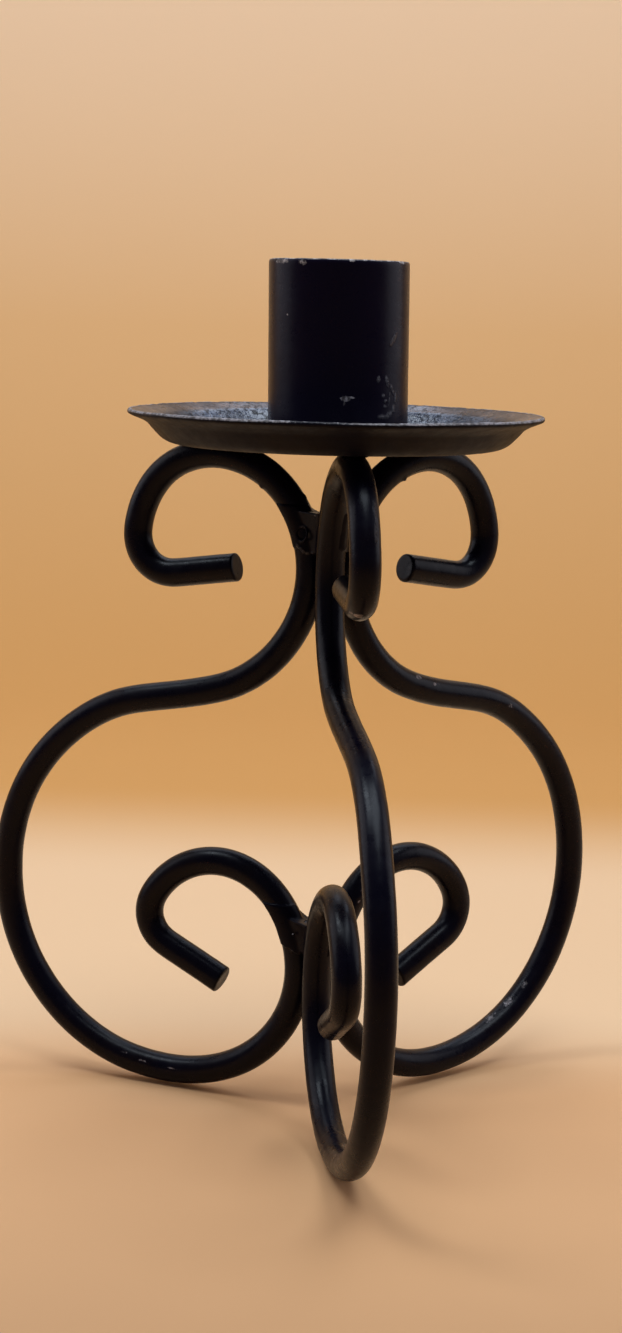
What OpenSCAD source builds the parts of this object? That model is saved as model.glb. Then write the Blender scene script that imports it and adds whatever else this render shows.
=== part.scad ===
// Taper candle holder. A tube for the candle stands in a dished drip pan, and three
// legs bent from round rod carry the pan. Every joint is a weld, so nothing on it moves.
// Sizes are in millimetres. The origin lies on the surface that the feet stand on,
// straight below the candle. +Z is up, and the front leg points towards -Y.

/* [Rod] */
// Diameter of the round rod that the legs are bent from
rod_d = 5.6; // [4.8:0.1:6.4]
// Gap between neighbouring rods where the legs come closest together
rod_gap = 0.6; // [0.3:0.1:1.2]
// Bevel round the sawn ends of each rod
rod_bevel = 0.4; // [0.2:0.1:0.8]

/* [Upper scroll] */
// Bend radius of the neck, to the middle of the rod
neck_r = 23; // [20:0.5:26]
// Turn of the neck above the upper joint, in degrees
neck_rise = 45; // [40:1:50]
// Bend radius of the crown that carries the pan
crown_r = 17; // [15:0.5:19]
// Turn of the crown, in degrees
crown_turn = 128; // [118:1:134]
// Bend radius of the hook at the upper free end
upper_hook_r = 7; // [5:0.5:9]
// Turn of the upper hook, in degrees
upper_hook_turn = 104; // [90:1:114]
// Length of the straight tail at the upper free end
upper_tail = 14; // [9:0.5:16]

/* [Belly and foot] */
// Turn of the neck below the upper joint, in degrees
neck_turn = 75; // [68:1:80]
// Bend radius of the belly, which runs down to the surface
belly_r = 37; // [33:0.5:41]
// Bend radius of the foot, past the lowest point
foot_r = 27; // [23:0.5:31]
// Turn of the foot, in degrees
foot_turn = 51; // [44:1:58]

/* [Lower scroll] */
// Bend radius of the scroll through the lower joint
scroll_r = 22; // [20:0.5:24]
// Turn of that scroll, in degrees
scroll_turn = 75; // [66:1:82]
// Bend radius of the lower curl
curl_r = 15.5; // [13.5:0.5:17.5]
// Turn of the lower curl, in degrees
curl_turn = 118; // [108:1:126]
// Bend radius of the hook at the lower free end
lower_hook_r = 6.5; // [5:0.5:8]
// Turn of the lower hook, in degrees
lower_hook_turn = 88; // [76:1:98]
// Length of the straight tail at the lower free end
lower_tail = 14; // [9:0.5:16]

/* [Drip pan] */
// Diameter over the rim
pan_d = 76.2; // [70:0.2:84]
// Thickness of the pressed sheet
pan_t = 1; // [0.7:0.1:1.4]
// Height of the rim's edge above the floor, between the same faces of the sheet
pan_rise = 4.8; // [4.2:0.1:8]
// Bend radius between floor and wall, to the middle of the sheet
pan_corner_r = 4.5; // [3:0.1:6]
// Slope of the wall, in degrees
wall_slope = 46; // [38:1:60]
// Length of the straight lip, along its slope
lip_l = 3.3; // [2:0.1:4.5]
// Slope of the lip, in degrees
lip_slope = 20; // [8:1:26]
// Bend radius between wall and lip, to the middle of the sheet
lip_bend_r = 2; // [1.2:0.1:3]

/* [Candle cup] */
// Bore of the cup, for a taper candle 22 mm thick
bore_d = 22.4; // [20:0.1:24]
// Thickness of the tube wall
cup_t = 1.5; // [1:0.1:2.4]
// Height of the cup above the pan's floor
cup_h = 32; // [24:0.5:44]
// Bevel on both edges of the mouth
cup_bevel = 0.4; // [0.2:0.1:0.5]

/* [Welds] */
// Height of a leg weld's lower edge above the point where the rods are closest
weld_start = 4; // [2.5:0.1:5]
// Height of a leg weld, from its lower edge to its upper one
weld_h = 7.6; // [5:0.1:8.4]
// How far a leg weld stands out past the middle line of the rods, at its upper edge
weld_swell = 0.4; // [0:0.1:1.2]
// Depth of the hollow in a leg weld's upper face
weld_dish = 1.6; // [0.8:0.1:2.4]
// Height of the tack weld between a crown and the pan
tack_h = 1.2; // [0.8:0.1:1.6]
// Width of that tack weld where it meets the pan
tack_d = 7; // [6.6:0.1:9]
// How far a tack weld stops short of the line where rod and pan touch
tack_root = 1; // [0.7:0.1:1.3]
// Leg length of the bead round the foot of the cup
cup_bead = 1.8; // [1:0.1:2.6]

/* [Hidden] */

// Sides of a circle drawn round the rod, round a bend and round the middle of the holder
rod_fn = 32;
bend_fn = 96;
round_fn = 128;
// Two pieces of a rod stop this far apart, and a ball hardly wider than the rod closes the gap
seam = 0.02;
swell = 0.01;
// Turn of each ball about the rod's line, which keeps its edge off the edges of the rod's faces
ball_turn = 45;
// Steps between the points of a bend in the sheet and of its rounded edge, in degrees
sheet_step = 6;
edge_step = 15;
// Place of the hollow face of the cup's bead, as a share of its leg length
bead_hollow = 0.45;

// The way that the front leg points, and the other two a third of a circle to either side
front_way = -90;
right_way = front_way + 360 / 3;
left_way = front_way - 360 / 3;

// Distance from the middle to the rods' own middle lines where the rods come closest
joint_r = (rod_d + rod_gap) / sqrt(3);
// The belly starts at the neck's slope and ends level, on the lowest point
belly_turn = 90 + neck_turn;
// The straight below the neck is as long as brings the lower joint back to joint_r
neck_straight = (belly_r * cos(neck_turn) + foot_r * sin(foot_turn)
                 + scroll_r * (1 - sin(foot_turn)) - neck_r * (1 - cos(neck_turn))) / sin(neck_turn);
// Heights of the upper joint and of the lower one
upper_joint_z = rod_d / 2 + neck_r * sin(neck_turn) + neck_straight * cos(neck_turn)
                + belly_r * (1 + sin(neck_turn));
lower_joint_z = rod_d / 2 + foot_r * (1 - cos(foot_turn)) + scroll_r * cos(foot_turn);
// The crown's highest point, where the pan rests
crown_top_r = joint_r + neck_r * (1 - cos(neck_rise)) + crown_r * cos(neck_rise);
pan_z = upper_joint_z + neck_r * sin(neck_rise) + crown_r * (1 - sin(neck_rise)) + rod_d / 2;
floor_z = pan_z + pan_t;

// A bend is [radius, turn] with a left turn positive, and a straight is [length, 0]
up_bends = [[neck_r, -neck_rise], [crown_r, -crown_turn], [upper_hook_r, -upper_hook_turn],
            [upper_tail, 0]];
upper_end = walk(up_bends, [joint_r, upper_joint_z], 90)[len(up_bends)];
leg_bends = [[upper_tail, 0], [upper_hook_r, upper_hook_turn], [crown_r, crown_turn],
             [neck_r, neck_rise + neck_turn], [neck_straight, 0], [belly_r, -belly_turn],
             [foot_r, -foot_turn], [scroll_r, -scroll_turn], [curl_r, -curl_turn],
             [lower_hook_r, -lower_hook_turn], [lower_tail, 0]];
// Stations along the leg, each a point and a heading, from the upper free end
leg_path = walk(leg_bends, upper_end[0], upper_end[1] + 180);
last_bend = len(leg_bends) - 1;
// Places of the bends that a weld lies against
CROWN = 2;
NECK = 3;
SCROLL = 7;
CURL = 8;

cup_r = bore_d / 2 + cup_t;

// The point where a bend that starts at p with heading h ends
function bend_end(p, h, bend) =
    bend[1] == 0 ? p + bend[0] * [cos(h), sin(h)] :
    let (side = sign(bend[1]), middle = p + side * bend[0] * [-sin(h), cos(h)])
    middle - side * bend[0] * [-sin(h + bend[1]), cos(h + bend[1])];

// Every station of a list of bends, as [point, heading]
function walk(bends, p, h, i = 0) =
    i == len(bends) ? [[p, h]] :
    concat([[p, h]], walk(bends, bend_end(p, h, bends[i]), h + bends[i][1], i + 1));

// Points of one face of a bent sheet, at a distance off to the left of its middle line
function face_points(path, bends, off) = [
    for (i = [0:len(bends) - 1])
        let (p = path[i][0], h = path[i][1], size = bends[i][0], turn = bends[i][1],
             steps = max(1, ceil(abs(turn) / sheet_step)))
        for (k = [0:steps])
            let (a = h + turn * k / steps,
                 at = turn == 0 ? p + k * size * [cos(h), sin(h)] : bend_end(p, h, [size, turn * k / steps]))
            if (k > 0 || i == 0)
                (turn != 0 && k == 0 ? p : at) + off * [-sin(a), cos(a)]
];

// One bend or straight of the rod, lying in the XY plane, short of each station by half a seam
module rod_piece(p, h, bend, cut_start = false, cut_end = false) {
    if (bend[1] == 0) {
        from = cut_start ? rod_bevel : seam / 2;
        to = bend[0] - (cut_end ? rod_bevel : seam / 2);
        translate([p[0], p[1], 0]) rotate([0, 0, h]) rotate([0, 90, 0]) {
            translate([0, 0, from]) cylinder(d = rod_d, h = to - from, $fn = rod_fn);
            if (cut_start)
                cylinder(d1 = rod_d - 2 * rod_bevel, d2 = rod_d, h = rod_bevel, $fn = rod_fn);
            if (cut_end)
                translate([0, 0, to])
                    cylinder(d1 = rod_d, d2 = rod_d - 2 * rod_bevel, h = rod_bevel, $fn = rod_fn);
        }
    } else {
        side = sign(bend[1]);
        trim = seam / 2 / bend[0] * 180 / PI;
        middle = p + side * bend[0] * [-sin(h), cos(h)];
        translate([middle[0], middle[1], 0])
            rotate([0, 0, (side > 0 ? h - 90 : h + 90 + bend[1]) + trim])
                rotate_extrude(angle = abs(bend[1]) - 2 * trim, $fn = bend_fn)
                    translate([bend[0], 0]) circle(d = rod_d, $fn = rod_fn);
    }
}

// The ball that joins two pieces of the rod at a station, with its poles along the rod
module rod_ball(station) {
    translate([station[0][0], station[0][1], 0]) rotate([0, 0, station[1]]) rotate([0, 90, 0])
        rotate([0, 0, ball_turn]) sphere(d = rod_d + 2 * swell, $fn = rod_fn);
}

// Stands what lies in the XY plane upright, and turns it to the way that a leg points
module stand(way) {
    rotate([0, 0, way]) rotate([90, 0, 0]) children();
}

// One whole leg, bent from a single rod
module leg(way) {
    stand(way) {
        for (i = [0:last_bend])
            rod_piece(leg_path[i][0], leg_path[i][1], leg_bends[i], i == 0, i == last_bend);
        for (i = [1:last_bend]) rod_ball(leg_path[i]);
    }
}

// Only some of a leg's bends, for cutting the seat of a weld
module leg_part(way, which) {
    stand(way)
        for (i = which)
            rod_piece(leg_path[i][0], leg_path[i][1], leg_bends[i]);
    stand(way)
        for (i = which)
            if (i != which[0]) rod_ball(leg_path[i]);
}

// Distance from the middle to the rods' middle lines, at a height above the closest point
function spread(bend_r, rise) = joint_r + bend_r - sqrt(bend_r * bend_r - rise * rise);

// A plug of weld metal in the fork above a joint, with a fin between each pair of rods
module leg_weld(joint_z, bend_r, which) {
    foot = weld_start;
    top = weld_start + weld_h;
    r_foot = spread(bend_r, foot);
    r_top = spread(bend_r, top) + weld_swell;
    // A ball that passes through the upper edge and dips by weld_dish in the middle
    dish_r = (r_top * r_top + weld_dish * weld_dish) / (2 * weld_dish);
    difference() {
        translate([0, 0, joint_z + foot]) cylinder(r1 = r_foot, r2 = r_top, h = weld_h, $fn = round_fn);
        translate([0, 0, joint_z + top - weld_dish + dish_r]) sphere(r = dish_r, $fn = round_fn);
        for (way = [front_way, left_way, right_way]) leg_part(way, which);
    }
}

// Straight tube with its mouth edges bevelled, standing on the pan's floor
module candle_cup() {
    color([0.05, 0.05, 0.07]) translate([0, 0, floor_z])
        rotate_extrude($fn = round_fn)
            polygon([[bore_d / 2, 0], [cup_r, 0], [cup_r, cup_h - cup_bevel], [cup_r - cup_bevel, cup_h],
                     [bore_d / 2 + cup_bevel, cup_h], [bore_d / 2, cup_h - cup_bevel]]);
}

// Pressed dish: flat floor, rounded corner, sloping wall and a flatter lip with a round edge
module drip_pan() {
    corner_rise = pan_corner_r * (1 - cos(wall_slope));
    bend_rise = lip_bend_r * (cos(lip_slope) - cos(wall_slope));
    lip_run = lip_l * cos(lip_slope);
    wall_l = (pan_rise - corner_rise - bend_rise - lip_l * sin(lip_slope)) / sin(wall_slope);
    side_run = pan_corner_r * sin(wall_slope) + wall_l * cos(wall_slope)
               + lip_bend_r * (sin(wall_slope) - sin(lip_slope)) + lip_run;
    floor_r = (pan_d - pan_t) / 2 - side_run;
    bends = [[floor_r, 0], [pan_corner_r, wall_slope], [wall_l, 0],
             [lip_bend_r, lip_slope - wall_slope], [lip_l, 0]];
    path = walk(bends, [0, pan_t / 2], 0);
    under = face_points(path, bends, -pan_t / 2);
    over = face_points(path, bends, pan_t / 2);
    tip = path[len(bends)][0];
    edge = [for (a = [lip_slope - 90 + edge_step : edge_step : lip_slope + 90 - edge_step])
                tip + pan_t / 2 * [cos(a), sin(a)]];
    back = [for (i = [len(over) - 1 : -1 : 0]) over[i]];
    color([0.09, 0.08, 0.08]) translate([0, 0, pan_z])
        rotate_extrude($fn = round_fn) polygon(concat(under, edge, back));
}

// Bead that joins the cup's foot to the pan's floor
module cup_weld() {
    color([0.07, 0.07, 0.08]) translate([0, 0, floor_z])
        rotate_extrude($fn = round_fn)
            polygon([[cup_r, 0], [cup_r + cup_bead, 0],
                     [cup_r + bead_hollow * cup_bead, bead_hollow * cup_bead], [cup_r, cup_bead]]);
}

// Tack weld on each crown: a bead on either side of the rod, up to the pan's underside
module pan_tacks() {
    color([0.07, 0.07, 0.08])
        for (way = [front_way, left_way, right_way])
            difference() {
                rotate([0, 0, way]) translate([crown_top_r, 0, pan_z - tack_h])
                    cylinder(d1 = tack_d - 2 * tack_h, d2 = tack_d, h = tack_h, $fn = rod_fn);
                leg_part(way, [CROWN]);
                rotate([0, 0, way]) translate([crown_top_r - tack_d, -tack_root, pan_z - 2 * tack_h])
                    cube([2 * tack_d, 2 * tack_root, 3 * tack_h]);
            }
}

module upper_weld() {
    color([0.07, 0.07, 0.08]) leg_weld(upper_joint_z, neck_r, [CROWN, NECK]);
}

module lower_weld() {
    color([0.07, 0.07, 0.08]) leg_weld(lower_joint_z, scroll_r, [SCROLL, CURL]);
}

module front_leg() {
    color([0.06, 0.06, 0.08]) leg(front_way);
}

module left_leg() {
    color([0.06, 0.06, 0.08]) leg(left_way);
}

module right_leg() {
    color([0.06, 0.06, 0.08]) leg(right_way);
}

candle_cup();
drip_pan();
cup_weld();
pan_tacks();
upper_weld();
lower_weld();
front_leg();
left_leg();
right_leg();
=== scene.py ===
"""Looks of the taper candle holder: three hand-bent rod legs, their welds, the drip pan and the cup.

Lengths are in millimetres until a mesh is made, and then in metres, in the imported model's own frame:
the origin on the floor straight below the candle, +Z up, the front leg towards -Y. The lamps and the
camera's clip distances are in metres. Named angles are in degrees.
"""

import math

import bpy
import numpy as np
from mathutils import Matrix, Vector, noise


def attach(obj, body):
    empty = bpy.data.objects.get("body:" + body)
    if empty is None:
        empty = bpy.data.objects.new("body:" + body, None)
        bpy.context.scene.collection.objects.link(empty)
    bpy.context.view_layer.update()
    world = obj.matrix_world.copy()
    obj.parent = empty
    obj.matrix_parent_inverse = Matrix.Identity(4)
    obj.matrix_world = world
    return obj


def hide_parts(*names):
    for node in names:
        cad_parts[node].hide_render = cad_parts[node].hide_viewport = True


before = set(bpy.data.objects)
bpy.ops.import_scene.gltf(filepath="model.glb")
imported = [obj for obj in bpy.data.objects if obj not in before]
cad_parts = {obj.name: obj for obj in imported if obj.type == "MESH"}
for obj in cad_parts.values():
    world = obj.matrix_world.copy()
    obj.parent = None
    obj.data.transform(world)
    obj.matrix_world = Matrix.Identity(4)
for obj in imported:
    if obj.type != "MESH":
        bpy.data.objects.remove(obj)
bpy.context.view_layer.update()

MM = 0.001

# Sizes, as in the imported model
ROD_R = 2.8
ROD_GAP = 0.6
JOINT_R = (2 * ROD_R + ROD_GAP) / math.sqrt(3)
NECK_R, NECK_RISE, NECK_TURN = 23.0, 45.0, 75.0
CROWN_R, CROWN_TURN = 17.0, 128.0
UPPER_HOOK_R, UPPER_HOOK_TURN, UPPER_TAIL = 7.0, 104.0, 14.0
BELLY_R = 37.0
FOOT_R, FOOT_TURN = 27.0, 51.0
SCROLL_R, SCROLL_TURN = 22.0, 75.0
CURL_R, CURL_TURN = 15.5, 118.0
LOWER_HOOK_R, LOWER_HOOK_TURN, LOWER_TAIL = 6.5, 88.0, 14.0
PAN_R, PAN_T, PAN_RISE = 38.1, 1.0, 4.8
PAN_CORNER_R, WALL_SLOPE = 4.5, 46.0
LIP_L, LIP_SLOPE, LIP_BEND_R = 3.3, 20.0, 2.0
BORE_R, CUP_T, CUP_H, CUP_BEVEL = 11.2, 1.5, 32.0, 0.4
CUP_BEAD, TACK_LONG, TACK_OUT = 1.8, 7.0, 1.9
LEG_WAYS = {"front_leg": -90.0, "left_leg": 150.0, "right_leg": 30.0}


def sin(a):
    """Sine of an angle in degrees."""
    return math.sin(math.radians(a))


def cos(a):
    """Cosine of an angle in degrees."""
    return math.cos(math.radians(a))


NECK_STRAIGHT = (BELLY_R * cos(NECK_TURN) + FOOT_R * sin(FOOT_TURN) + SCROLL_R * (1 - sin(FOOT_TURN))
                 - NECK_R * (1 - cos(NECK_TURN))) / sin(NECK_TURN)
UPPER_JOINT_Z = (ROD_R + NECK_R * sin(NECK_TURN) + NECK_STRAIGHT * cos(NECK_TURN)
                 + BELLY_R * (1 + sin(NECK_TURN)))
LOWER_JOINT_Z = ROD_R + FOOT_R * (1 - cos(FOOT_TURN)) + SCROLL_R * cos(FOOT_TURN)
PAN_Z = UPPER_JOINT_Z + NECK_R * sin(NECK_RISE) + CROWN_R * (1 - sin(NECK_RISE)) + ROD_R
FLOOR_Z = PAN_Z + PAN_T
RIM_Z = FLOOR_Z + PAN_RISE
CUP_R = BORE_R + CUP_T

# Small helpers
SEED_STEPS = (17.3, 5.1, 9.7)


def wobble(points, size, seed):
    """Smooth noise from about -1 to 1 at each point, with features of the given size."""
    shift = Vector([seed * step for step in SEED_STEPS])
    return np.array([noise.noise(Vector(p) / size + shift) for p in points])


def ripples(points, layers, seed):
    """Layers of noise added up, each with its height, its size and what it adds to the seed."""
    return sum(height * wobble(points, size, seed + more) for height, size, more in layers)


def ramp(x, low, high):
    """0 below low, 1 above high, smooth between."""
    t = np.clip((x - low) / (high - low), 0, 1)
    return t * t * (3 - 2 * t)


def unit(vectors):
    """Vectors scaled to length 1."""
    return vectors / np.linalg.norm(vectors, axis=1)[:, None]


def turned(points, way):
    """Points in a leg's own plane, x away from the middle and y to its side, turned to the leg's way."""
    out = np.array(points, float)
    out[:, 0] = points[:, 0] * cos(way) - points[:, 1] * sin(way)
    out[:, 1] = points[:, 0] * sin(way) + points[:, 1] * cos(way)
    return out


def add_object(name, data):
    """A new object in the scene, at the origin."""
    made = bpy.data.objects.new(name, data)
    bpy.context.scene.collection.objects.link(made)
    return made


def add_mesh(name, points, faces, material):
    """A mesh object from points in millimetres, smooth shaded."""
    mesh = bpy.data.meshes.new(name)
    mesh.from_pydata([tuple(p) for p in np.asarray(points) * MM], [], faces)
    mesh.validate()
    mesh.shade_smooth()
    mesh.materials.append(material)
    return add_object(name, mesh)


def add_piece(name, node, points, faces, material):
    """A piece that rides on the holder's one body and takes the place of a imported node."""
    piece = add_mesh(name, points, faces, material)
    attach(piece, "root")
    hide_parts(node)


def ring_faces(rings, sides, first=0, close=False):
    """Quads between neighbouring rings of points; close joins the last ring to the first."""
    faces = []
    for i in range(rings if close else rings - 1):
        a, b = first + i * sides, first + (i + 1) % rings * sides
        for k in range(sides):
            n = (k + 1) % sides
            faces.append((a + k, a + n, b + n, b + k))
    return faces


def tube_faces(rings, sides):
    """Quads along a row of rings, and a face across either end."""
    faces = ring_faces(rings, sides)
    faces.append(tuple(range(sides))[::-1])
    faces.append(tuple(range((rings - 1) * sides, rings * sides)))
    return faces


def revolved(profile, around):
    """Rings of points round the upright axis, one for each point (r, z) of a profile."""
    angles = np.linspace(0, 2 * math.pi, around, endpoint=False)
    r, z = profile[:, 0][:, None], profile[:, 1][:, None]
    rings = np.stack([r * np.cos(angles), r * np.sin(angles), np.repeat(z, around, axis=1)], -1)
    return rings.reshape(-1, 3)


# Legs
STEP, SIDES = 0.4, 44
PAINTED_R = ROD_R - 0.09
HEAD_SOFT, STRAY_SOFT = 1.1, 2.6
# Drawn rod under thick paint: low waves, and fine ones from brush and dust
ROD_RIPPLES = ((0.03, 9.0, 0), (0.015, 2.2, 3))
# Rings of a sawn end, as (in from the painted radius, out past the rod's last point)
END_RINGS = ((0.02, 0.05), (0.08, 0.15), (0.18, 0.24), (0.34, 0.31), (0.52, 0.345), (0.75, 0.35),
             (1.2, 0.345), (1.9, 0.34), (2.5, 0.34))
# The cut face: the ring it starts with, its slope off square and where that is full, and its roughness
FACE_RING, SAW_SLOPE, FULL_SLOPE_OUT, SAW_MARKS, SAW_MARK_SIZE = 3, 0.05, 0.3, 0.03, 1.1
# Bends as (radius, turn) and straights as (length, 0), from the upper joint upwards and downwards
UP_BENDS = [(NECK_R, -NECK_RISE), (CROWN_R, -CROWN_TURN), (UPPER_HOOK_R, -UPPER_HOOK_TURN), (UPPER_TAIL, 0)]
DOWN_BENDS = [(NECK_R, NECK_TURN), (NECK_STRAIGHT, 0), (BELLY_R, -90 - NECK_TURN), (FOOT_R, -FOOT_TURN),
              (SCROLL_R, -SCROLL_TURN), (CURL_R, -CURL_TURN), (LOWER_HOOK_R, -LOWER_HOOK_TURN),
              (LOWER_TAIL, 0)]


def walk(bends, heading):
    """The lengths gone along a list of bends, at even steps, and the heading at each."""
    marks, turns = [0.0], [0.0]
    for size, turn in bends:
        marks.append(marks[-1] + (size * math.radians(abs(turn)) if turn else size))
        turns.append(turns[-1] + turn)
    count = int(round(marks[-1] / STEP)) + 1
    gone = np.linspace(0, marks[-1], count)
    return gone, heading + np.interp(gone, marks, turns)


def follow(gone, headings, point):
    """Points reached by following the headings from a point, by the middle of each step."""
    middle = np.radians((headings[1:] + headings[:-1]) / 2)
    step = np.diff(gone)
    turn = np.radians(np.diff(headings))
    chord = step * np.where(np.abs(turn) > 1e-9, np.sin(turn / 2) / np.where(turn == 0, 1, turn / 2), 1)
    x = point[0] + np.concatenate([[0], np.cumsum(chord * np.cos(middle))])
    z = point[1] + np.concatenate([[0], np.cumsum(chord * np.sin(middle))])
    return np.stack([x, z], 1)


def softened(values, reach_mm):
    """Values along the rod averaged over a short reach, the ends kept."""
    width = reach_mm / STEP
    reach = int(width * 3)
    kernel = np.exp(-0.5 * (np.arange(-reach, reach + 1) / width) ** 2)
    before, after = 2 * values[0] - values[reach:0:-1], 2 * values[-1] - values[-2:-reach - 2:-1]
    padded = np.concatenate([before, values, after])
    return np.convolve(padded, kernel / kernel.sum(), "valid")


def rod_line():
    """Middle line of a leg from its upper free end to its lower one: lengths gone, and points (r, z)."""
    up_gone, up_heads = walk(UP_BENDS, 90)
    down_gone, down_heads = walk(DOWN_BENDS, -90)
    up = follow(up_gone, up_heads, (JOINT_R, UPPER_JOINT_Z))
    gone = np.concatenate([up_gone[-1] - up_gone[::-1], up_gone[-1] + down_gone[1:]])
    heads = np.concatenate([up_heads[::-1] + 180, down_heads[1:] + 360])
    # Cold bends run into each other without a sudden change of radius
    heads = softened(heads, HEAD_SOFT)
    points = follow(gone, heads, up[-1])
    points[:, 1] += ROD_R - points[:, 1].min()
    return gone, points


GONE, LINE = rod_line()
LENGTH = GONE[-1]

# Hand-bent legs stray a little from the bending plan, as (length gone from the upper end, stray):
# to the side of the leg's plane, and square to the rod within it, measured on the photograph
SIDE_STRAY = {
    "front_leg": [(0, 0.35), (14, 0.2), (22, -0.05), (30, -0.2), (58, -0.1), (67, -0.38), (97, -0.38),
                  (113, -0.5), (120, -0.3), (126, 0.08), (133, 0.28), (145, 0.15), (156, -0.15),
                  (168, -0.12), (190, -0.28), (212, -0.4), (235, -0.55), (262, -0.7), (275, -0.75),
                  (290, -0.55), (300, -0.22), (314, -0.4), (332, -0.34), (347, -0.1)],
    "left_leg": [(0, 0.0), (33, -0.3), (50, 0.3), (66, 0.0), (347, 0.0)],
    "right_leg": [(0, 0.0), (33, 0.3), (50, -0.3), (66, 0.0), (347, 0.0)],
}
FACE_STRAY = {
    "front_leg": [(0, -0.55), (9, 0.0), (16, 0.2), (50, -0.15), (132, 0.1), (200, 0.0), (215, 0.15),
                  (231, 0.15), (264, 0.0), (297, -0.2), (330, 0.15), (347, -0.3)],
    "left_leg": [(0, 0.0), (8, -0.22), (18, -0.5), (26, 0.18), (40, -0.25), (50, 0.15), (58, 0.48),
                 (70, 0.08), (84, 0.06), (97, 0.15), (105, -0.12), (115, -0.88), (122, -0.56),
                 (130, 0.18), (137, 0.36), (147, 0.11), (165, 0.05), (180, 0.0), (197, 0.28), (214, 0.35),
                 (226, 0.24), (233, -0.12), (243, -0.32), (257, 0.02), (270, -0.12), (284, -0.3),
                 (295, -0.58), (308, -0.12), (318, 0.1), (328, 0.58), (340, 0.1), (347, -0.05)],
    "right_leg": [(0, 0.2), (8, -0.05), (17, -0.42), (26, 0.5), (40, -0.06), (50, 0.07), (59, 0.55),
                  (66, 0.35), (84, 0.7), (96, 0.86), (105, 0.43), (116, -0.5), (121, -0.4), (130, 0.44),
                  (137, 0.6), (147, 0.2), (160, 0.0), (176, -0.25), (200, -0.16), (215, -0.15),
                  (227, -0.4), (238, -0.6), (248, -0.6), (258, -0.33), (290, 0.1), (307, 0.5),
                  (322, 0.45), (333, -0.42), (347, -0.45)],
}
# How much shorter each leg was cut at its upper end and at its lower one
CUT_SHORT = {"front_leg": (0.9, 0.3), "left_leg": (0.8, 0.5), "right_leg": (0.8, 0.5)}
# Runs and burrs in the paint: leg, place, reach and height
LUMPS = {
    "left_leg": [((-12.14, 5.44, 118.3), 0.45, 0.35), ((-4.45, 2.55, 116.75), 0.55, 0.3)],
    "right_leg": [((14.75, 6.2, 120.0), 0.5, 0.45), ((7.83, 1.5, 40.82), 0.5, 0.25),
                  ((8.3, 1.9, 41.9), 0.35, 0.25)],
}


def strayed(table):
    """The strays of a table at each point of the middle line, softened."""
    places, values = zip(*table)
    return softened(np.interp(GONE, places, values), STRAY_SOFT)


def leg_line(name):
    """Middle line of one leg in its own plane, as points, with its tangents, normals and sides."""
    tangent = unit(np.gradient(LINE, GONE, axis=0))
    normal = np.stack([-tangent[:, 1], tangent[:, 0]], 1)
    moved = LINE + normal * strayed(FACE_STRAY[name])[:, None]
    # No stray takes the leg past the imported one's reach or under the floor
    moved[:, 0] = np.minimum(moved[:, 0], LINE[:, 0].max())
    moved[:, 1] = np.maximum(moved[:, 1], ROD_R)
    points = np.stack([moved[:, 0], strayed(SIDE_STRAY[name]), moved[:, 1]], 1)
    kept = np.linspace(CUT_SHORT[name][0], LENGTH - CUT_SHORT[name][1], len(GONE))
    points = np.stack([np.interp(kept, GONE, points[:, k]) for k in range(3)], 1)
    tangent = unit(np.gradient(points, kept, axis=0))
    normal = unit(np.cross([0.0, 1.0, 0.0], tangent))
    return points, tangent, normal, np.cross(tangent, normal)


def end_rings(point, tangent, normal, side, angles, seed):
    """Rings that close a sawn end: a worn bevel under paint, then the cut face, a little off square."""
    slopes = SAW_SLOPE * math.sin(seed), SAW_SLOPE * math.cos(seed)
    rings = []
    for inset, out in END_RINGS:
        radius = PAINTED_R - inset
        lean = radius * (slopes[0] * np.cos(angles) + slopes[1] * np.sin(angles))
        lean *= min(1, out / FULL_SLOPE_OUT)
        rings.append(point + tangent * (out + lean)[:, None]
                     + radius * (np.cos(angles)[:, None] * normal + np.sin(angles)[:, None] * side))
    rings = np.array(rings)
    marks = SAW_MARKS * wobble(rings[FACE_RING:].reshape(-1, 3), SAW_MARK_SIZE, seed + 9)
    rings[FACE_RING:] += marks.reshape(-1, len(angles))[..., None] * tangent
    return list(rings)


def add_leg(name, material, seed):
    """One leg: a swept rod with its ripples, lumps of paint and sawn ends."""
    points, tangent, normal, side = leg_line(name)
    angles = np.linspace(0, 2 * math.pi, SIDES, endpoint=False)
    keep = slice(1, -1)
    out = np.cos(angles)[None, :, None] * normal[keep, None]
    out = (out + np.sin(angles)[None, :, None] * side[keep, None]).reshape(-1, 3)
    body = np.repeat(points[keep], SIDES, axis=0) + PAINTED_R * out
    body += out * ripples(body, ROD_RIPPLES, seed)[:, None]
    way = LEG_WAYS[name]
    for place, reach, height in LUMPS.get(name, ()):
        near = turned(np.array([place]), -way)[0]
        body += out * (height * np.exp(-((body - near) ** 2).sum(1) / reach ** 2))[:, None]
    start = end_rings(points[1], -tangent[1], normal[1], side[1], angles, seed)
    end = end_rings(points[-2], tangent[-2], normal[-2], side[-2], angles, seed + 2)
    rod = np.concatenate(start[::-1] + [body] + end)
    rod[:, 2] = np.maximum(rod[:, 2], 0)
    faces = tube_faces(len(rod) // SIDES, SIDES)
    add_piece(name + "_rod", name, turned(rod, way), faces, material)


# Welds


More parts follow.
